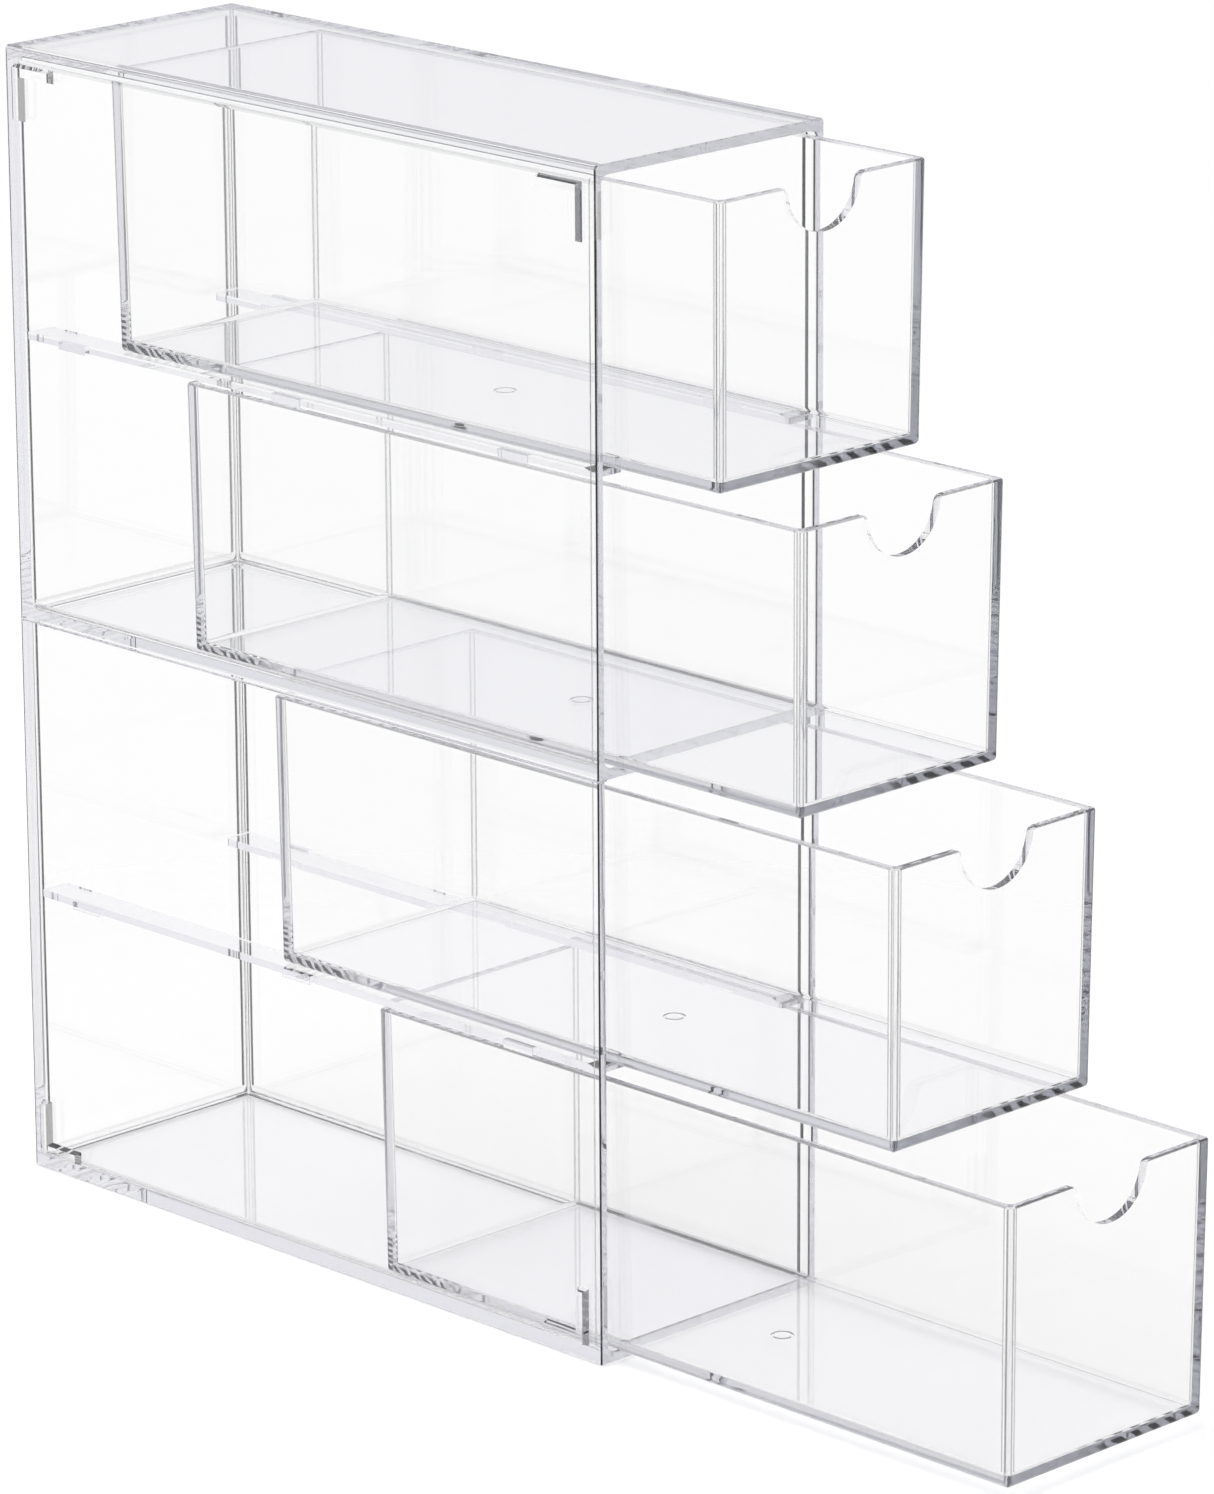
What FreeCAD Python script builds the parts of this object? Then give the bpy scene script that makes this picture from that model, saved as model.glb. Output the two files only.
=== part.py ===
import FreeCAD, Part
import math
import os

V = FreeCAD.Vector

# Clear drawer organizer for eyewear: two stacked moulded cases, two pairs of
# drawer rails and four drafted drawers. Millimetres, +Z up, the drawers open
# towards -Y, and the origin is the centre of the underside of the case.

# Cases
case_width = 70.0
case_depth = 191.6
upper_height = 135.7
lower_height = 134.2
case_wall = 2.5
outer_edge_radius = 1.0
edge_break = 0.3
inner_edge_radius = 2.0
seam_gap = 0.1
mouth_relief = 0.3
mouth_relief_length = 3.0

# Locating lip under the floor of the upper case
lip_depth = 0.9
lip_width = 1.6
lip_clearance = 0.25
lip_setback = 1.8
lip_inner_radius = 0.3

# Corner ribs on the left side
rib_inset = 3.9
rib_arm_length = 13.2
rib_base_width = 3.1
rib_top_width = 2.1
rib_height = 1.6

# Rails and their tabs
rail_thickness = 1.8
rail_reach = 7.4
rail_end_setback = 1.8
rail_end_radius = 1.2
lead_in_length = 3.4
lead_in_drop = 0.8
tab_count = 3
tab_length = 9.2
tab_spacing = 72.4
tab_group_centre = 2.3
tab_clearance = 0.1

# Room round the drawers: they fill the case's width and depth, and two of them its height
side_clearance = 0.9
back_clearance = 0.3
slide_clearance = 0.25
headroom_under_rails = 1.35
headroom_under_roof = 0.85
headroom_under_lip = 1.05
closed_overhang = 2.4

# Drawers, and how far each front stands ahead of the case from the top one down
drawer_draft = 0.65
drawer_wall = 2.0
drawer_floor = 2.0
drawer_outer_radius = 1.2
drawer_inner_radius = 1.0
drawer_rim_break = 0.4
drawer_reveals = [33.6, 57.1, 84.7, 118.1]

# Half-round finger notch in each drawer front
notch_radius = 11.2
notch_shoulder_radius = 2.0

# Moulding gate mark under each drawer
gate_ring_diameter = 5.2
gate_ring_width = 0.6
gate_ring_depth = 0.4

# How far a cutting tool runs past the face it cuts
overrun = 5.0

# Lengths that differ by less than this are taken as the same
tolerance = 0.001

half_width = case_width / 2
half_depth = case_depth / 2
upper_base = lower_height + seam_gap
inner_half_width = half_width - case_wall
back_face = half_depth - case_wall
drawer_rim_width = 2 * (inner_half_width - side_clearance)
drawer_rim_length = back_face - back_clearance + half_depth + closed_overhang


def box(x0, x1, y0, y1, z0, z1):
    """A block between two corners."""
    return Part.makeBox(x1 - x0, y1 - y0, z1 - z0, V(x0, y0, z0))


def near(a, b):
    """Whether two lengths are the same."""
    return abs(a - b) < tolerance


def middle_of(edge):
    """The point halfway along an edge."""
    return edge.valueAt((edge.FirstParameter + edge.LastParameter) / 2)


def rounded_block(half_x, y0, y1, z0, z1, radius):
    """A block with its upright edges rounded."""
    block = box(-half_x, half_x, y0, y1, z0, z1)
    uprights = [edge for edge in block.Edges if near(edge.BoundBox.ZLength, z1 - z0)]
    return block.makeFillet(radius, uprights)


def case_shell(base, height, pocket_top):
    """A moulded case open at the front: a rounded block less its pocket, a little wider at the mouth."""
    block = box(-half_width, half_width, -half_depth, half_depth, base, base + height)

    def is_back_upright(point):
        return near(abs(point.x), half_width) and near(point.y, half_depth)

    uprights = [edge for edge in block.Edges if is_back_upright(middle_of(edge))]
    block = block.makeFillet(outer_edge_radius, uprights)
    floor = base + case_wall

    def hollow(half_x, end):
        space = box(-half_x, half_x, -half_depth - overrun, end, floor, pocket_top)

        def is_inner_corner(point):
            side = near(abs(point.x), half_x)
            back = near(point.y, back_face)
            under_roof = near(point.z, pocket_top) and pocket_top < base + height
            return side + back + (near(point.z, floor) or under_roof) >= 2

        corners = [edge for edge in space.Edges if is_inner_corner(middle_of(edge))]
        return space.makeFillet(inner_edge_radius, corners)

    mouth = hollow(inner_half_width + mouth_relief, mouth_relief_length - half_depth)
    return block.cut([hollow(inner_half_width, back_face), mouth])


def outer_rim(shell, z, setback):
    """The outer edges of a case at height z, apart from the front one."""

    def is_outer_rim(edge):
        point = middle_of(edge)
        level = near(edge.BoundBox.ZMin, z) and near(edge.BoundBox.ZMax, z)
        outside = abs(point.x) > inner_half_width or point.y > back_face
        return level and outside and point.y > -half_depth + setback

    return [edge for edge in shell.Edges if is_outer_rim(edge)]


def break_edges(shell, base):
    """The shell with the edges of its front face and underside slightly broken."""
    shell = shell.makeChamfer(edge_break, outer_rim(shell, base, edge_break))
    front = [edge for edge in shell.Edges if near(edge.BoundBox.YMax, -half_depth)]
    return shell.makeChamfer(edge_break, front)


def corner_rib(corner_z, toward_y, toward_z):
    """One L-shaped rib on the left side, its flanks leaning in to a narrower top.

    toward_y and toward_z are the signs of the way its arms run from the corner.
    """
    corner_y = -toward_y * (half_depth - rib_inset)

    def outline(x, inset, width):
        near_end = inset
        far_end = rib_arm_length - inset
        inner = inset + width
        steps = [
            (near_end, near_end),
            (far_end, near_end),
            (far_end, inner),
            (inner, inner),
            (inner, far_end),
            (near_end, far_end),
        ]
        points = [V(x, corner_y + toward_y * along, corner_z + toward_z * up) for along, up in steps]
        return Part.makePolygon(points + points[:1])

    base = outline(-half_width, 0, rib_base_width)
    top = outline(-half_width - rib_height, (rib_base_width - rib_top_width) / 2, rib_top_width)
    root = Part.Face(base).extrude(V(case_wall / 2, 0, 0))
    return Part.makeLoft([base, top], True, True).fuse(root)


def rail_level(drawer_height):
    """Height of a case's rails over its base, which leaves room for a drawer below them."""
    return case_wall + slide_clearance + drawer_height + headroom_under_rails


def tab_blocks(underside, side, inner, outer, clearance):
    """Blocks at the tabs of one rail, from one distance off the middle to another."""
    low = underside - clearance
    high = underside + rail_thickness + clearance
    reach = tab_length / 2 + clearance
    x0, x1 = sorted((side * inner, side * outer))
    first = tab_group_centre - tab_spacing * (tab_count - 1) / 2
    centres = [first + tab_spacing * number for number in range(tab_count)]
    return [box(x0, x1, centre - reach, centre + reach, low, high) for centre in centres]


def cut_slots(shell, underside):
    """The shell with the slots for the tabs of both its rails."""
    slots = []
    for side in (-1, 1):
        inner = inner_half_width - overrun
        slots += tab_blocks(underside, side, inner, half_width + overrun, tab_clearance)
    return shell.cut(slots)


def locating_lip():
    """A shallow three-sided frame under the upper floor, just inside the lower walls."""
    low = upper_base - lip_depth
    high = upper_base + case_wall / 2
    front = -half_depth + lip_setback

    def block(inset, start, radius):
        return rounded_block(inner_half_width - inset, start, back_face - inset, low, high, radius)

    outer = block(lip_clearance, front, inner_edge_radius - lip_clearance)
    return outer.cut(block(lip_clearance + lip_width, front - overrun, lip_inner_radius))


def upper_case():
    """Closed upper case: roof, sides, back, floor and the locating lip below."""
    top = upper_base + upper_height
    shell = case_shell(upper_base, upper_height, top - case_wall)
    shell = shell.makeFillet(outer_edge_radius, outer_rim(shell, top, outer_edge_radius))
    shell = break_edges(shell, upper_base).fuse(locating_lip())
    for toward_y in (1, -1):
        shell = shell.fuse(corner_rib(top - rib_inset, toward_y, -1))
    return cut_slots(shell.removeSplitter(), upper_rails)


def lower_case():
    """Lower case: sides, back and bottom, closed above by the upper case."""
    shell = case_shell(0, lower_height, lower_height + overrun)
    shell = break_edges(shell, 0)
    for toward_y in (1, -1):
        shell = shell.fuse(corner_rib(rib_inset, toward_y, 1))
    return cut_slots(shell.removeSplitter(), lower_rails)


def rail(low, side):
    """One rail: a strip with a sloped lead-in at the front and tabs into the side."""
    high = low + rail_thickness
    front = -half_depth + rail_end_setback
    back = back_face - rail_end_setback
    root = inner_half_width - tab_clearance
    free = inner_half_width - rail_reach
    profile = [
        V(free, front, low),
        V(free, back, low),
        V(free, back, high),
        V(free, front + lead_in_length, high),
        V(free, front, high - lead_in_drop),
    ]
    strip = Part.Face(Part.makePolygon(profile + profile[:1])).extrude(V(root - free, 0, 0))

    def is_free_corner(point):
        return near(point.x, free) and (near(point.y, front) or near(point.y, back))

    corners = [edge for edge in strip.Edges if is_free_corner(middle_of(edge))]
    strip = strip.makeFillet(rail_end_radius, corners)
    if side < 0:
        strip = strip.mirror(V(0, 0, 0), V(1, 0, 0))
    tabs = tab_blocks(low, side, (free + root) / 2, half_width, 0)
    return strip.fuse(tabs).removeSplitter()


def leaning_tub(inset, bottom, height, radius):
    """A rounded block, inset from a drawer's outside, whose sides lean out to the rim."""
    lean = drawer_draft * (1 - bottom / height)
    half_x = drawer_rim_width / 2 - inset
    near_y = inset
    far_y = drawer_rim_length - inset
    block = Part.makeWedge(
        lean - half_x,
        bottom,
        lean - far_y,
        -far_y,
        -half_x,
        half_x - lean,
        height,
        -near_y - lean,
        -near_y,
        half_x,
    )
    block.rotate(V(0, 0, 0), V(1, 0, 0), 90)
    below_rim = [edge for edge in block.Edges if not near(edge.BoundBox.ZMin, height)]
    return block.makeFillet(radius, below_rim)


def notch_cutter(rim):
    """The half-round notch with rounded shoulders, run through the front wall.

    The shoulder arcs touch the rim and the notch arc, whose centre is at the rim.
    """
    span = notch_radius + notch_shoulder_radius
    shoulder_x = math.sqrt(span**2 - notch_shoulder_radius**2)
    meeting_x = shoulder_x * notch_radius / span
    meeting_drop = notch_shoulder_radius * notch_radius / span
    middle_angle = (math.pi / 2 + math.pi - math.asin(notch_shoulder_radius / span)) / 2

    def at(x, drop):
        return V(x, 0, rim - drop)

    def arc(start, middle, end):
        return Part.Arc(start, middle, end).toShape()

    def shoulder(sign):
        across = shoulder_x + notch_shoulder_radius * math.cos(middle_angle)
        drop = notch_shoulder_radius * (1 - math.sin(middle_angle))
        return arc(at(sign * shoulder_x, 0), at(sign * across, drop), at(sign * meeting_x, meeting_drop))

    bottom = arc(at(-meeting_x, meeting_drop), at(0, notch_radius), at(meeting_x, meeting_drop))
    lid = [at(shoulder_x, 0), at(shoulder_x, -overrun), at(-shoulder_x, -overrun), at(-shoulder_x, 0)]
    lines = [Part.makeLine(start, end) for start, end in zip(lid, lid[1:])]
    outline = Part.Wire(Part.__sortEdges__([shoulder(1), bottom, shoulder(-1)] + lines))
    cutter = Part.Face(outline).extrude(V(0, 2 * overrun, 0))
    cutter.translate(V(0, -overrun, 0))
    return cutter


def gate_ring():
    """The shallow ring that the moulding gate leaves in the middle of a drawer's base."""
    centre = V(0, drawer_rim_length / 2, 0)
    ring = Part.makeCylinder(gate_ring_diameter / 2, gate_ring_depth, centre)
    core = Part.makeCylinder(gate_ring_diameter / 2 - gate_ring_width, gate_ring_depth, centre)
    return ring.cut(core)


def drawer(height):
    """A drawer standing on z = 0, its front rim at y = 0."""
    outer = leaning_tub(0, 0, height, drawer_outer_radius)
    body = outer.cut(leaning_tub(drawer_wall, drawer_floor, height, drawer_inner_radius))
    rim = [edge for edge in body.Edges if near(edge.BoundBox.ZMin, height)]
    return body.makeChamfer(drawer_rim_break, rim).cut([notch_cutter(height), gate_ring()])


def fitting_height(clear_height, headroom):
    """Height of a drawer where two of them and the rails between fill a clear height."""
    spare = 2 * slide_clearance + headroom_under_rails + rail_thickness + headroom
    return (clear_height - spare) / 2


def write(name, shape):
    """Check that a finished piece is one sound solid, and write it."""
    if not shape.isValid() or len(shape.Solids) != 1:
        raise ValueError(name + " is not one sound solid")
    shape.Solids[0].exportStep("parts/" + name + ".step")


upper_drawer = fitting_height(upper_height - 2 * case_wall, headroom_under_roof)
lower_drawer = fitting_height(upper_base - lip_depth - case_wall, headroom_under_lip)
upper_rails = upper_base + rail_level(upper_drawer)
lower_rails = rail_level(lower_drawer)

# What each drawer stands on and how high it is, from the top one down
shelves = [
    (upper_rails + rail_thickness, upper_drawer),
    (upper_base + case_wall, upper_drawer),
    (lower_rails + rail_thickness, lower_drawer),
    (case_wall, lower_drawer),
]

os.makedirs("parts", exist_ok=True)
write("upper_case", upper_case())
write("lower_case", lower_case())
for storey, underside in (("upper", upper_rails), ("lower", lower_rails)):
    for hand, side in (("left", -1), ("right", 1)):
        write(storey + "_rail_" + hand, rail(underside, side))
for number, (reveal, (shelf, height)) in enumerate(zip(drawer_reveals, shelves), start=1):
    placed = drawer(height)
    placed.translate(V(0, -half_depth - reveal, shelf + slide_clearance))
    write("drawer_%d" % number, placed)
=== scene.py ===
"""A clear drawer organizer for eyewear: its moulded plastic, the studio and the camera."""
import math
from functools import partial

import bpy
import numpy as np
from mathutils import Matrix, Vector


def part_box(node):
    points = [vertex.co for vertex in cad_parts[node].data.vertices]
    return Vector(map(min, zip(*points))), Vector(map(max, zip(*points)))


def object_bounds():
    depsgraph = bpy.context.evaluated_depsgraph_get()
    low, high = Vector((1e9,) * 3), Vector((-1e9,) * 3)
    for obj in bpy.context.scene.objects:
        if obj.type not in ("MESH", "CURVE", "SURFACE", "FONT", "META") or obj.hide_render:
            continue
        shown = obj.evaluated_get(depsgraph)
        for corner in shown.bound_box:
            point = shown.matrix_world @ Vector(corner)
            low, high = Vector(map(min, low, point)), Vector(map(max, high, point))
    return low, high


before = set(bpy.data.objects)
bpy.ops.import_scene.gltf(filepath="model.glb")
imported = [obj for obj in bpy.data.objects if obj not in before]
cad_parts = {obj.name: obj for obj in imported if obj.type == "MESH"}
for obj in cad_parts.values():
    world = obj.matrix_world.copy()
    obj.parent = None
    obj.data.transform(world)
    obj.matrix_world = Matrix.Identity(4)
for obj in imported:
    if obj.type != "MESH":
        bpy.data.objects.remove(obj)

bl_info = {
    "name": "Eyewear Drawer Organizer",
    "version": (1, 0, 0),
    "blender": (4, 5, 0),
    "location": "3D View > Sidebar > Organizer",
    "description": "Finishes a clear drawer organizer and sets up its studio",
    "category": "Object",
}

CASE_LOW, CASE_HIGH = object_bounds()

# The photograph's width in pixels, and the camera's sensor and range
PHOTO_WIDTH = 1214
SENSOR_WIDTH = 36.0
NEAREST, FARTHEST = 0.01, 50.0

# How often light may bounce inside the thin plastic before Cycles gives it up
BOUNCES = 64

# Each band below is a pair: a share is one at its first figure and fades to zero at its second.

# Bands of the largest part of a normal that place the painted edge shade: off the flats, well
# along a rounding, and on a bevel
OFF_FLAT = (0.998, 0.9995)
WELL_TURNED = (0.915, 0.97)
ON_BEVEL = (0.715, 0.725)
# Band of the upward part of a normal on upright edges, which take the full painted edge shade,
# and the share of that shade which level edges keep
UPRIGHT_EDGE_SHADE = (0.03, 0.12)
LEVEL_EDGE_SHADE_SHARE = 0.2

# Bands of distance from a drawer's outer faces where the melt's marks lie and their shade is
# painted, in metres
IN_FLOOR = (0.0021, 0.0025)
IN_WALL = (0.0028, 0.0034)
BY_FAR_SIDE = (0.03, 0.046)
BY_BACK = (0.02, 0.03)
RUNG_HEIGHT = (0.008, 0.011)
# Bands that pick out the gate ring: upright faces, under the floor, inside the drawer's outline
UPRIGHT_FACE = (0.1, 0.3)
UNDER_FLOOR = (0.0006, 0.0009)
INSIDE_OUTLINE = (0.01, 0.008)
# Rows of flow marks: spacing, the height in which a row leans over by one mark, bend by noise
FRONT_STROKES = (0.0055, 0.004, 0.8)
SIDE_RIPPLES = (0.0032, 0.003, 3.0)
CORNER_RUNGS = (0.0014, 1.0, 0.5)
# Band of the sine wave that counts as a mark, the noise that bends it, and the near-black colour
# painted on a mark as shade
MARK_WAVE = (0.3, -0.4)
MARK_NOISE_SCALE = 150.0
MARK_SHADE_COLOUR = (0.003, 0.003, 0.004)

# The step inside a case's mouth, which gets a painted shade line: where it lies, how wide the
# line is, its share on the near side
MOUTH_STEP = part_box("upper_case")[0].y + 0.003
MOUTH_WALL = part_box("upper_case")[1].x - 0.00235
MOUTH_SHADE_BAND = (0.0003, 0.0004)
FAR_SIDE = (0.001, -0.001)
NEAR_SIDE_SHARE = 0.25

# Colour of the glow painted inside the plastic, and of light that it has guided from end to end
PAINTED_GLOW_COLOUR = (0.97, 0.97, 1.0)
GUIDED_COLOUR = (0.95, 0.95, 0.97)
# Inner bounces at which light starts to count as guided, and at which it is wholly so
GUIDED_BOUNCES = (4.0, 12.0)

# The white surroundings as the plastic reflects them, from straight down (0) to straight up (1)
ROOM_GREYS = (
    (0.0, 0.3),
    (0.3, 1.0),
    (0.44, 1.0),
    (0.475, 0.4),
    (0.53, 0.45),
    (0.58, 0.78),
    (0.7, 0.85),
    (0.8, 1.0),
    (1.0, 0.8),
)
BLUE_CAST = 1.06
# The surroundings as they are seen through the plastic, on the same scale
BACKDROP_COLOURS = ((0.31, (0.93, 0.925, 0.93)), (0.35, (1.0, 1.0, 1.0)))
WHITE = (1.0, 1.0, 1.0)

# The floor lies just under the object, and gives way to the surroundings between these distances
FLOOR_GAP = 0.0002
FLOOR_TO_WHITE = (1.1, 0.25)
FLOOR_TO_BACKDROP = (0.35, 0.2)


class PlasticSettings:
    """What every clear plastic has; each kind of piece keeps its own values."""

    tint: bpy.props.FloatVectorProperty(
        name="Tint",
        description="Colour of the clear plastic",
        subtype="COLOR",
        size=3,
        min=0.0,
        max=1.0,
        default=(1.0, 1.0, 1.0),
    )
    refraction: bpy.props.FloatProperty(
        name="Refraction",
        description="Refractive index of the plastic",
        default=1.49,
        min=1.0,
        max=2.0,
    )
    depth_tint: bpy.props.FloatVectorProperty(
        name="Depth tint",
        description="Colour that a long way through the plastic takes on",
        subtype="COLOR",
        size=3,
        min=0.0,
        max=1.0,
        default=(0.66, 0.665, 0.7),
    )
    depth_density: bpy.props.FloatProperty(
        name="Depth density",
        description="How fast the plastic takes on its depth tint, per metre",
        default=14.0,
        min=0.0,
    )
    # Painted glow: the plastic's inside emits light, more the longer the way through it
    painted_glow: bpy.props.FloatProperty(
        name="Painted glow",
        description="Light that the plastic gathers on a long way through it, per metre",
        default=0.4,
        min=0.0,
    )
    polish: bpy.props.FloatProperty(
        name="Roughness",
        description="Roughness of the polished surface",
        default=0.0,
        min=0.0,
        max=1.0,
    )
    # Painted shade on edges: the colour that roundings and bevels are darkened to
    edge_shade_tone: bpy.props.FloatProperty(
        name="Painted edge shade",
        description="How much light comes through the ends of a rounding and through a bevel",
        subtype="FACTOR",
        default=0.3,
        min=0.0,
        max=1.0,
    )
    bevel_roughness: bpy.props.FloatProperty(
        name="Bevel roughness",
        description="Roughness of the bevels along the rims",
        subtype="FACTOR",
        default=0.3,
        min=0.0,
        max=1.0,
    )
    wave_size: bpy.props.FloatProperty(
        name="Wave size",
        description="Distance between the soft waves that moulding leaves",
        subtype="DISTANCE",
        unit="LENGTH",
        default=0.014,
    )
    wave_depth: bpy.props.FloatProperty(
        name="Wave depth",
        description="Height of the soft waves that moulding leaves",
        subtype="DISTANCE",
        unit="LENGTH",
        default=0.000005,
    )


class CasePlastic(PlasticSettings, bpy.types.PropertyGroup):
    """The cases' clear plastic: clearer in depth, painted shade on its edges, polished bevels."""

    depth_density: bpy.props.FloatProperty(
        name="Depth density",
        description="How fast the plastic takes on its depth tint, per metre",
        default=6.5,
        min=0.0,
    )
    # The cases' edges are painted almost black, as shade
    edge_shade_tone: bpy.props.FloatProperty(
        name="Painted edge shade",
        description="How much light comes through the ends of a rounding and through a bevel",
        subtype="FACTOR",
        default=0.005,
        min=0.0,
        max=1.0,
    )
    bevel_roughness: bpy.props.FloatProperty(
        name="Bevel roughness",
        description="Roughness of the bevels along the rims",
        subtype="FACTOR",
        default=0.0,
        min=0.0,
        max=1.0,
    )


class FittingPlastic(PlasticSettings, bpy.types.PropertyGroup):
    """The clear plastic of the rails or of the drawers."""


class StageSettings(bpy.types.PropertyGroup):
    """The floor, the light and the camera."""

    floor_radius: bpy.props.FloatProperty(
        name="Floor radius",
        description="Radius of the pale floor",
        subtype="DISTANCE",
        unit="LENGTH",
        default=6.0,
    )
    floor_colour: bpy.props.FloatVectorProperty(
        name="Floor colour",
        description="Colour of the pale floor",
        subtype="COLOR",
        size=3,
        min=0.0,
        max=1.0,
        default=(0.93, 0.93, 0.935),
    )
    # Painted shade: a darker floor colour where the eye sees the floor through the plastic
    floor_shade_through_plastic: bpy.props.FloatVectorProperty(
        name="Floor shade through plastic",
        description="Colour of the floor where it is seen through the plastic",
        subtype="COLOR",
        size=3,
        min=0.0,
        max=1.0,
        default=(0.84, 0.832, 0.834),
    )
    softbox_place: bpy.props.FloatVectorProperty(
        name="Softbox place",
        description="Where the soft lamp hangs",
        subtype="TRANSLATION",
        unit="LENGTH",
        size=3,
        default=(-0.3, 0.2, 1.6),
    )
    softbox_size: bpy.props.FloatProperty(
        name="Softbox size",
        description="Side of the square soft lamp",
        subtype="DISTANCE",
        unit="LENGTH",
        default=1.2,
    )
    softbox_power: bpy.props.FloatProperty(
        name="Softbox power",
        description="Power of the soft lamp, in watts",
        default=7.0,
        min=0.0,
    )
    camera_place: bpy.props.FloatVectorProperty(
        name="Camera place",
        description="Where the camera stands",
        subtype="TRANSLATION",
        unit="LENGTH",
        size=3,
        default=(-1.1461, -1.2241, 0.6076),
    )
    camera_heading: bpy.props.FloatProperty(
        name="Camera heading",
        description="Direction that the camera looks in, from +Y towards +X",
        subtype="ANGLE",
        unit="ROTATION",
        default=math.radians(44.63),
    )
    camera_pitch: bpy.props.FloatProperty(
        name="Camera pitch",
        description="How far the camera looks up",
        subtype="ANGLE",
        unit="ROTATION",
        default=math.radians(-16.37),
    )
    camera_roll: bpy.props.FloatProperty(
        name="Camera roll",
        description="How far the camera leans over to the left",
        subtype="ANGLE",
        unit="ROTATION",
        default=math.radians(-0.316),
    )
    camera_focus: bpy.props.FloatProperty(
        name="Focal length",
        description="Focal length, as pixels of the photograph's width",
        default=7665.0,
    )


class OrganizerSettings(bpy.types.PropertyGroup):
    """All that a user would change."""

    case: bpy.props.PointerProperty(
        name="Case plastic",
        description="Plastic of both cases",
        type=CasePlastic,
    )
    rail: bpy.props.PointerProperty(
        name="Rail plastic",
        description="Plastic of the rails",
        type=FittingPlastic,
    )
    drawer: bpy.props.PointerProperty(
        name="Drawer plastic",
        description="Plastic of the drawers",
        type=FittingPlastic,
    )
    stage: bpy.props.PointerProperty(
        name="Stage",
        description="Floor, light and camera",
        type=StageSettings,
    )


def feed(tree, socket, value):
    """Links a socket to another one or sets it to a plain value, a colour as its three parts."""
    if isinstance(value, bpy.types.NodeSocket):
        tree.links.new(value, socket)
    elif socket.type == "RGBA":
        socket.default_value = (*value, 1.0)
    else:
        socket.default_value = value


def add_node(tree, kind, inputs=None, **settings):
    """A new node with its settings; each input is a plain value or the socket that feeds it."""
    node = tree.nodes.new(kind)
    for name, value in settings.items():
        setattr(node, name, value)
    for name, value in (inputs or {}).items():
        feed(tree, node.inputs[name], value)
    return node


def calculate(tree, operation, *terms, kind="ShaderNodeMath"):
    """The terms, each a socket or a number, put through one Math or Vector Math node."""
    return add_node(tree, kind, dict(enumerate(terms)), operation=operation).outputs[0]


def combine(tree, operation, first, *others):
    """The terms put through a chain of Math nodes, such as their product or their maximum."""
    for other in others:
        first = calculate(tree, operation, first, other)
    return first


def step(tree, source, full, none):
    """A smooth step from one where the source is at full to zero where it is at none."""
    ends = {
        "Value": source,
        "From Min": min(full, none),
        "From Max": max(full, none),
        "To Min": float(full < none),
        "To Max": float(full > none),
    }
    node = add_node(tree, "ShaderNodeMapRange", ends, interpolation_type="SMOOTHSTEP")
    return node.outputs["Result"]


def mix_colours(tree, share, first, second):
    """The colours mixed by a share; each is a colour or a socket."""
    mix = add_node(tree, "ShaderNodeMix", {"Factor": share}, data_type="RGBA")
    sockets = [socket for socket in mix.inputs if socket.type == "RGBA"]
    for socket, colour in zip(sockets, (first, second)):
        feed(tree, socket, colour)
    return [socket for socket in mix.outputs if socket.type == "RGBA"][0]


def colour_ramp(tree, share, stops, interpolation="LINEAR"):
    """A ramp through colours, each at its position, from low to high."""
    node = add_node(tree, "ShaderNodeValToRGB", {"Fac": share})
    node.color_ramp.interpolation = interpolation
    elements = node.color_ramp.elements
    for number, (position, colour) in enumerate(stops):
        stop = elements[number] if number < 2 else elements.new(position)
        stop.position = position
        stop.color = (*colour, 1.0)
    return node.outputs["Color"]


def coordinates(tree, kind):
    """A Texture Coordinate node's output of one kind, such as Object or Normal."""
    return add_node(tree, "ShaderNodeTexCoord").outputs[kind]


def parts_of(tree, vector):
    """The X, Y and Z parts of a vector."""
    return add_node(tree, "ShaderNodeSeparateXYZ", {0: vector}).outputs


def between(tree, start, end):
    """The X, Y and Z parts of the way from one place to another."""
    return parts_of(tree, calculate(tree, "SUBTRACT", end, start, kind="ShaderNodeVectorMath"))


def turned_parts(tree):
    """How far the surface faces along X, along Y and along Z, whichever way round."""
    normal = coordinates(tree, "Normal")
    return parts_of(tree, calculate(tree, "ABSOLUTE", normal, kind="ShaderNodeVectorMath"))


def new_group(name, inputs, outputs):
    """An empty node group with sockets of the given kinds: the group, its inputs, its end node."""
    group = bpy.data.node_groups.new(name, "ShaderNodeTree")
    for direction, sockets in (("INPUT", inputs), ("OUTPUT", outputs)):
        for label, kind in sockets.items():
            group.interface.new_socket(label, in_out=direction, socket_type="NodeSocket" + kind)
    given = group.nodes.new("NodeGroupInput").outputs
    return group, given, group.nodes.new("NodeGroupOutput")


def new_material(name):
    """An empty node material: the material, its tree and its end node."""
    material = bpy.data.materials.new(name)
    material.use_nodes = True
    tree = material.node_tree
    tree.nodes.clear()
    return material, tree, add_node(tree, "ShaderNodeOutputMaterial")


def moulded_surface_group():
    """Soft waves that moulding leaves in a polished surface: a height in metres, smooth noise."""
    name = "moulded surface"
    if name in bpy.data.node_groups:
        return bpy.data.node_groups[name]
    group, given, end = new_group(
        name,
        {"Wave Size": "Float", "Wave Depth": "Float"},
        {"Height": "Float"},
    )
    noise = add_node(
        group,
        "ShaderNodeTexNoise",
        {
            "Vector": coordinates(group, "Object"),
            "Scale": calculate(group, "DIVIDE", 1.0, given["Wave Size"]),
            "Detail": 1.0,
            "Roughness": 0.4,
        },
    )
    height = calculate(group, "MULTIPLY", noise.outputs["Fac"], given["Wave Depth"])
    feed(group, end.inputs["Height"], height)
    return group


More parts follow.
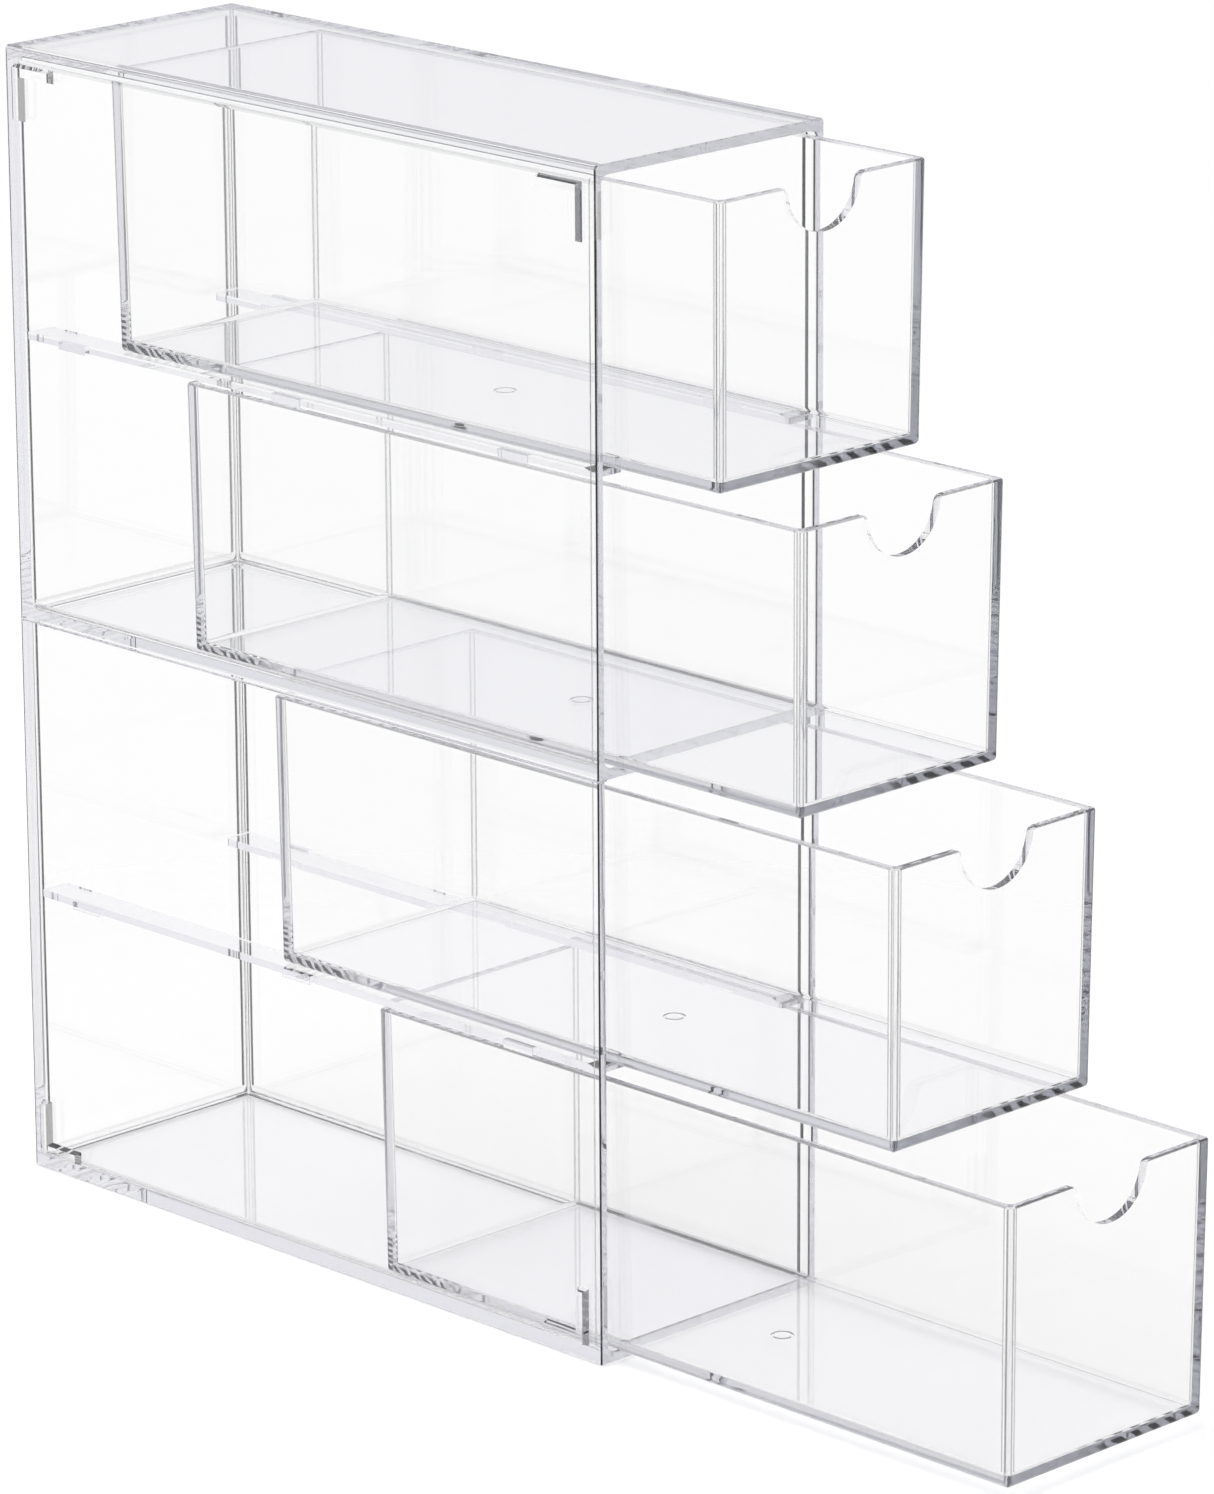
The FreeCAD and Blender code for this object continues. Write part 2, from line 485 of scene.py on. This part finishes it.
def edge_shade_group():
    """Painted shade on edges: dark where a rounding starts and on a bevel, less so on level edges.

    The largest part of the normal is 1 on a flat, falls along a rounding and is 0.71 on a bevel.
    """
    name = "rounded edge"
    if name in bpy.data.node_groups:
        return bpy.data.node_groups[name]
    group, given, end = new_group(
        name,
        {"Flat Colour": "Color", "Edge Shade Tone": "Float", "Level Shade Share": "Float"},
        {"Color": "Color", "Bevel": "Float"},
    )
    facing = turned_parts(group)
    largest = combine(group, "MAXIMUM", facing["X"], facing["Y"], facing["Z"])
    off_flat = step(group, largest, *OFF_FLAT)
    well_turned = step(group, largest, *WELL_TURNED)
    bevel = step(group, largest, *ON_BEVEL)
    edges = calculate(group, "ADD", calculate(group, "SUBTRACT", off_flat, well_turned), bevel)
    upright = step(group, facing["Z"], *UPRIGHT_EDGE_SHADE)
    strength = calculate(group, "MAXIMUM", upright, given["Level Shade Share"])
    share = calculate(group, "MULTIPLY", edges, strength)
    # The base colour is darkened here as painted shade, in place of the dark that clear edges show
    colour = mix_colours(group, share, given["Flat Colour"], given["Edge Shade Tone"])
    feed(group, end.inputs["Color"], colour)
    feed(group, end.inputs["Bevel"], bevel)
    return group


def flow_mark_shade_group():
    """Painted shade on the marks of the melt's flow at a drawer's bottom edges, and on its gate
    ring.

    Slanted strokes lie under the front, finer ripples and rungs near the back. A mark is a sine
    wave along the edge, bent by noise, and shows only within the thickness of the wall or floor.
    The marks and the ring are moulded relief; the near-black colour on them is painted shade.
    """
    name = "flow marks"
    if name in bpy.data.node_groups:
        return bpy.data.node_groups[name]
    group, given, end = new_group(
        name,
        {"Low Corner": "Vector", "High Corner": "Vector"},
        {"Share": "Float"},
    )
    place = coordinates(group, "Object")
    noise = add_node(
        group,
        "ShaderNodeTexNoise",
        {"Vector": place, "Scale": MARK_NOISE_SCALE, "Detail": 2.0},
    )
    low = between(group, given["Low Corner"], place)
    high = between(group, place, given["High Corner"])

    def marks(along, spacing, lean, bend):
        """Sine marks along an edge, leaning over with height."""
        spaced = calculate(group, "DIVIDE", along, spacing)
        turns = calculate(group, "ADD", spaced, calculate(group, "DIVIDE", low["Z"], lean))
        bent = calculate(group, "MULTIPLY_ADD", noise.outputs["Fac"], bend, turns)
        wave = calculate(group, "SINE", calculate(group, "MULTIPLY", bent, 2 * math.pi))
        return step(group, wave, *MARK_WAVE)

    at_floor = step(group, low["Z"], *IN_FLOOR)
    at_front = step(group, low["Y"], *IN_WALL)
    at_near_side = step(group, low["X"], *IN_WALL)
    at_back = step(group, high["Y"], *IN_WALL)
    front = combine(
        group,
        "MULTIPLY",
        marks(low["X"], *FRONT_STROKES),
        at_floor,
        at_front,
        step(group, high["X"], *BY_FAR_SIDE),
    )
    side = combine(
        group,
        "MULTIPLY",
        marks(high["Y"], *SIDE_RIPPLES),
        at_floor,
        at_near_side,
        step(group, high["Y"], *BY_BACK),
    )
    corner = combine(
        group,
        "MULTIPLY",
        marks(low["Z"], *CORNER_RUNGS),
        at_near_side,
        at_back,
        step(group, low["Z"], *RUNG_HEIGHT),
    )
    gate = combine(
        group,
        "MULTIPLY",
        step(group, turned_parts(group)["Z"], *UPRIGHT_FACE),
        step(group, low["Z"], *UNDER_FLOOR),
        step(group, combine(group, "MINIMUM", low["X"], low["Y"], high["X"]), *INSIDE_OUTLINE),
    )
    feed(group, end.inputs["Share"], combine(group, "MAXIMUM", front, side, corner, gate))
    return group


def flow_mark_shade(tree, corners):
    """How dark the painted mark shade is on the drawer that lies between two corners."""
    low, high = corners
    flow = add_node(
        tree,
        "ShaderNodeGroup",
        {"Low Corner": low, "High Corner": high},
        node_tree=flow_mark_shade_group(),
    )
    return flow.outputs["Share"]


def mouth_step_shade(tree):
    """How dark the painted shade line at the step inside a case's mouth is: full on the far side,
    less on the near side.
    """
    place = parts_of(tree, coordinates(tree, "Object"))
    from_step = calculate(tree, "ABSOLUTE", calculate(tree, "SUBTRACT", place["Y"], MOUTH_STEP))
    from_middle = calculate(tree, "ABSOLUTE", place["X"])
    from_wall = calculate(tree, "ABSOLUTE", calculate(tree, "SUBTRACT", from_middle, MOUTH_WALL))
    far_side = step(tree, place["X"], *FAR_SIDE)
    side = calculate(tree, "MULTIPLY_ADD", far_side, 1.0 - NEAR_SIDE_SHARE, NEAR_SIDE_SHARE)
    return combine(
        tree,
        "MULTIPLY",
        step(tree, from_step, *MOUTH_SHADE_BAND),
        step(tree, from_wall, *MOUTH_SHADE_BAND),
        side,
    )


def light_path(tree, kind):
    """A Light Path node's output of one kind."""
    return add_node(tree, "ShaderNodeLightPath").outputs[kind]


def from_eye(tree):
    """One for a ray that has met no matt surface on its way from the eye, else zero."""
    return calculate(tree, "LESS_THAN", light_path(tree, "Diffuse Depth"), 0.5)


def through_plastic(tree):
    """One for a ray that the eye sends through the plastic or off it, else zero."""
    past_eye = calculate(tree, "SUBTRACT", 1.0, light_path(tree, "Is Camera Ray"))
    return calculate(tree, "MULTIPLY", past_eye, from_eye(tree))


def reflected_share(tree):
    """One for a ray that the plastic has reflected on its way from the eye, else zero."""
    reflected = calculate(tree, "GREATER_THAN", light_path(tree, "Glossy Depth"), 0.5)
    return calculate(tree, "MULTIPLY", reflected, from_eye(tree))


def guided_share(tree):
    """How far light was guided along the plastic: zero for few inner bounces, one for many."""
    few, many = GUIDED_BOUNCES
    bounces = {"Value": light_path(tree, "Glossy Depth"), "From Min": few, "From Max": many}
    return add_node(tree, "ShaderNodeMapRange", bounces).outputs["Result"]


def clear_plastic(name, plastic, marks=None):
    """Clear moulded plastic: refraction, a tint that deepens with depth, a painted glow, soft
    waves.

    Painted edge shade, painted shade on marks, and the waves show to the eye, and light on its way
    to the floor passes them by. Where a piece has marks of its own, marks gives their painted
    shade, as a socket of the tree.
    """
    material, tree, output = new_material(name)
    # Painted shade on roundings and bevels, darkening the base colour
    edge = add_node(
        tree,
        "ShaderNodeGroup",
        {
            "Flat Colour": plastic.tint,
            "Edge Shade Tone": plastic.edge_shade_tone,
            "Level Shade Share": LEVEL_EDGE_SHADE_SHARE,
        },
        node_tree=edge_shade_group(),
    )
    colour = edge.outputs["Color"]
    # The piece's own marks are painted near black, as shade
    if marks:
        colour = mix_colours(tree, marks(tree), colour, MARK_SHADE_COLOUR)
    waves = add_node(
        tree,
        "ShaderNodeGroup",
        {"Wave Size": plastic.wave_size, "Wave Depth": plastic.wave_depth},
        node_tree=moulded_surface_group(),
    )
    seen = from_eye(tree)
    height = calculate(tree, "MULTIPLY", waves.outputs["Height"], seen)
    bump = add_node(tree, "ShaderNodeBump", {"Strength": 1.0, "Distance": 1.0, "Height": height})
    # Eye rays see the base colour with its painted shade; other rays see the plain tint
    shader = add_node(
        tree,
        "ShaderNodeBsdfPrincipled",
        {
            "Base Color": mix_colours(tree, seen, plastic.tint, colour),
            "Roughness": plastic.polish,
            "IOR": plastic.refraction,
            "Transmission Weight": 1.0,
            "Normal": bump.outputs["Normal"],
        },
    )
    if plastic.bevel_roughness:
        bevel = edge.outputs["Bevel"]
        roughness = calculate(tree, "MULTIPLY_ADD", bevel, plastic.bevel_roughness, plastic.polish)
        feed(tree, shader.inputs["Roughness"], roughness)
    depth = add_node(
        tree,
        "ShaderNodeVolumeAbsorption",
        {"Color": plastic.depth_tint, "Density": plastic.depth_density},
    )
    # Painted glow: light emitted inside the plastic, not from any lamp
    gathered = add_node(
        tree,
        "ShaderNodeEmission",
        {"Color": PAINTED_GLOW_COLOUR, "Strength": plastic.painted_glow},
    )
    inside = add_node(
        tree,
        "ShaderNodeAddShader",
        {0: depth.outputs["Volume"], 1: gathered.outputs["Emission"]},
    )
    feed(tree, output.inputs["Surface"], shader.outputs["BSDF"])
    feed(tree, output.inputs["Volume"], inside.outputs["Shader"])
    return material


def nodes_named(word):
    """The CAD nodes whose name holds a word, by name; raises if there are none."""
    found = {name: node for name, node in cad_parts.items() if word in name}
    if not found:
        raise RuntimeError(f"no piece is named like {word}")
    return found


def dress(node, material):
    """Gives a CAD node one material."""
    node.data.materials.clear()
    node.data.materials.append(material)


class ORGANIZER_OT_finish_cases(bpy.types.Operator):
    """Give both cases their clear plastic"""

    bl_idname = "organizer.finish_cases"
    bl_label = "Finish Cases"

    def execute(self, context):
        # The cases get a painted shade line at the step in their mouth
        material = clear_plastic("clear case", context.scene.organizer.case, mouth_step_shade)
        for node in nodes_named("_case").values():
            dress(node, material)
        return {"FINISHED"}


class ORGANIZER_OT_finish_rails(bpy.types.Operator):
    """Give the drawer rails their clear plastic"""

    bl_idname = "organizer.finish_rails"
    bl_label = "Finish Rails"

    def execute(self, context):
        material = clear_plastic("clear rail", context.scene.organizer.rail)
        for node in nodes_named("_rail_").values():
            dress(node, material)
        return {"FINISHED"}


class ORGANIZER_OT_finish_drawers(bpy.types.Operator):
    """Give each drawer its clear plastic and painted shade on its own marks of the melt's flow"""

    bl_idname = "organizer.finish_drawers"
    bl_label = "Finish Drawers"

    def execute(self, context):
        plastic = context.scene.organizer.drawer
        for name, node in nodes_named("drawer_").items():
            marks = partial(flow_mark_shade, corners=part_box(name))
            dress(node, clear_plastic("clear " + name, plastic, marks))
        return {"FINISHED"}


def disc_mesh(name, radius, rings=24, spokes=96):
    """A flat disc on z = 0, as rings of points: x = r cos a and y = r sin a.

    The radius r goes from the middle to the rim in even steps, and the angle a once round.
    """
    distance = radius * np.linspace(0.0, 1.0, rings + 1)[1:]
    angle = np.linspace(0.0, 2 * math.pi, spokes, endpoint=False)
    x = np.outer(distance, np.cos(angle)).ravel()
    y = np.outer(distance, np.sin(angle)).ravel()
    points = np.vstack([[0.0, 0.0, 0.0], np.column_stack([x, y, np.zeros_like(x)])])
    turn = np.arange(spokes)
    next_turn = (turn + 1) % spokes
    fan = np.column_stack([np.zeros(spokes, int), 1 + turn, 1 + next_turn])
    inner = 1 + np.arange(rings - 1)[:, None] * spokes
    outer = inner + spokes
    quads = np.stack([inner + turn, outer + turn, outer + next_turn, inner + next_turn], axis=-1)
    mesh = bpy.data.meshes.new(name)
    mesh.from_pydata(points.tolist(), [], fan.tolist() + quads.reshape(-1, 4).tolist())
    return mesh


def floor_material(stage):
    """Pale matt floor that fades into the white surroundings well away from the object.

    Seen through the plastic it has a darker colour of its own, painted shade, and gives way to
    the backdrop sooner.
    """
    material, tree, output = new_material("pale floor")
    through = through_plastic(tree)
    # Painted shade: rays through the plastic see the darker floor colour
    colour = mix_colours(tree, through, stage.floor_colour, stage.floor_shade_through_plastic)
    matt = add_node(tree, "ShaderNodeBsdfDiffuse", {"Color": colour})
    white = add_node(tree, "ShaderNodeEmission", {"Strength": 1.0})
    backdrop = add_node(tree, "ShaderNodeBsdfTransparent")
    place = {0: coordinates(tree, "Object")}
    distance = add_node(tree, "ShaderNodeVectorMath", place, operation="LENGTH").outputs["Value"]
    seen_direct = add_node(
        tree,
        "ShaderNodeMixShader",
        {
            "Fac": step(tree, distance, *FLOOR_TO_WHITE),
            1: matt.outputs["BSDF"],
            2: white.outputs["Emission"],
        },
    )
    given_way = calculate(tree, "MULTIPLY", step(tree, distance, *FLOOR_TO_BACKDROP), through)
    floor = add_node(
        tree,
        "ShaderNodeMixShader",
        {"Fac": given_way, 1: seen_direct.outputs["Shader"], 2: backdrop.outputs["BSDF"]},
    )
    feed(tree, output.inputs["Surface"], floor.outputs["Shader"])
    return material


def cool_grey(grey):
    """A grey with a slight blue cast."""
    return (grey, grey, min(1.0, grey * BLUE_CAST))


def set_world():
    """White surroundings, shaded by height where the plastic reflects them or shows them."""
    world = bpy.data.worlds.new("studio")
    world.use_nodes = True
    bpy.context.scene.world = world
    tree = world.node_tree
    tree.nodes.clear()
    upward = parts_of(tree, coordinates(tree, "Generated"))["Z"]
    height = add_node(
        tree,
        "ShaderNodeMapRange",
        {"Value": upward, "From Min": -1.0, "From Max": 1.0},
    ).outputs["Result"]
    greys = [(position, cool_grey(grey)) for position, grey in ROOM_GREYS]
    room = colour_ramp(tree, height, greys, interpolation="EASE")
    reflected = mix_colours(tree, guided_share(tree), room, GUIDED_COLOUR)
    backdrop = colour_ramp(tree, height, BACKDROP_COLOURS)
    behind = mix_colours(tree, reflected_share(tree), backdrop, reflected)
    seen = mix_colours(tree, through_plastic(tree), WHITE, behind)
    background = add_node(tree, "ShaderNodeBackground", {"Color": seen, "Strength": 1.0})
    add_node(tree, "ShaderNodeOutputWorld", {"Surface": background.outputs["Background"]})


def add_softbox(stage):
    """A square lamp that faces the middle of the object."""
    middle = (CASE_LOW + CASE_HIGH) / 2
    place = Vector(stage.softbox_place)
    lamp = bpy.data.lights.new("top softbox", "AREA")
    lamp.shape = "SQUARE"
    lamp.size = stage.softbox_size
    lamp.energy = stage.softbox_power
    holder = bpy.data.objects.new("top softbox", lamp)
    holder.location = place
    holder.rotation_euler = (middle - place).to_track_quat("-Z", "Y").to_euler()
    bpy.context.scene.collection.objects.link(holder)


def add_camera(stage):
    """The camera, looking along its heading and pitch and leant over by its roll."""
    heading, pitch, roll = stage.camera_heading, stage.camera_pitch, stage.camera_roll
    level_ahead = Vector((math.sin(heading), math.cos(heading), 0.0))
    ahead = level_ahead * math.cos(pitch) + Vector((0.0, 0.0, math.sin(pitch)))
    level = Vector((math.cos(heading), -math.sin(heading), 0.0))
    above = level.cross(ahead)
    right = level * math.cos(roll) + above * math.sin(roll)
    up = above * math.cos(roll) - level * math.sin(roll)
    camera = bpy.data.cameras.new("camera")
    camera.sensor_fit = "HORIZONTAL"
    camera.sensor_width = SENSOR_WIDTH
    camera.lens = stage.camera_focus / PHOTO_WIDTH * SENSOR_WIDTH
    camera.clip_start = NEAREST
    camera.clip_end = FARTHEST
    holder = bpy.data.objects.new("camera", camera)
    turn = Matrix((right, up, -ahead)).transposed()
    holder.matrix_world = Matrix.Translation(stage.camera_place) @ turn.to_4x4()
    bpy.context.scene.collection.objects.link(holder)
    bpy.context.scene.camera = holder


class ORGANIZER_OT_set_stage(bpy.types.Operator):
    """Lay the pale floor and set the light, the surroundings and the camera"""

    bl_idname = "organizer.set_stage"
    bl_label = "Set Stage"

    def execute(self, context):
        scene = context.scene
        stage = scene.organizer.stage
        floor = bpy.data.objects.new("floor", disc_mesh("floor", stage.floor_radius))
        floor.data.transform(Matrix.Translation((0.0, 0.0, -FLOOR_GAP)))
        floor.data.materials.append(floor_material(stage))
        scene.collection.objects.link(floor)
        set_world()
        add_softbox(stage)
        add_camera(stage)
        scene.view_settings.view_transform = "Standard"
        scene.cycles.max_bounces = BOUNCES
        scene.cycles.transmission_bounces = BOUNCES
        scene.cycles.glossy_bounces = BOUNCES
        scene.cycles.blur_glossy = 0.0
        return {"FINISHED"}


class ORGANIZER_PT_panel(bpy.types.Panel):
    """The steps that finish the organizer, in order, each under its own settings"""

    bl_idname = "ORGANIZER_PT_panel"
    bl_label = "Organizer"
    bl_space_type = "VIEW_3D"
    bl_region_type = "UI"
    bl_category = "Organizer"

    def draw(self, context):
        for piece, operator in STEPS.items():
            settings = getattr(context.scene.organizer, piece)
            box = self.layout.box()
            for setting in settings.bl_rna.properties:
                if setting.identifier not in {"rna_type", "name"}:
                    box.prop(settings, setting.identifier)
            box.operator(operator.bl_idname)


# Each group of settings in OrganizerSettings, with the operator that uses it
STEPS = {
    "case": ORGANIZER_OT_finish_cases,
    "rail": ORGANIZER_OT_finish_rails,
    "drawer": ORGANIZER_OT_finish_drawers,
    "stage": ORGANIZER_OT_set_stage,
}
CLASSES = (
    CasePlastic,
    FittingPlastic,
    StageSettings,
    OrganizerSettings,
    *STEPS.values(),
    ORGANIZER_PT_panel,
)


def register():
    for cls in CLASSES:
        bpy.utils.register_class(cls)
    bpy.types.Scene.organizer = bpy.props.PointerProperty(type=OrganizerSettings)


def unregister():
    del bpy.types.Scene.organizer
    for cls in reversed(CLASSES):
        bpy.utils.unregister_class(cls)


def main():
    """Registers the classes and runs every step."""
    register()
    bpy.ops.organizer.finish_cases()
    bpy.ops.organizer.finish_rails()
    bpy.ops.organizer.finish_drawers()
    bpy.ops.organizer.set_stage()


if __name__ == "__main__":
    main()
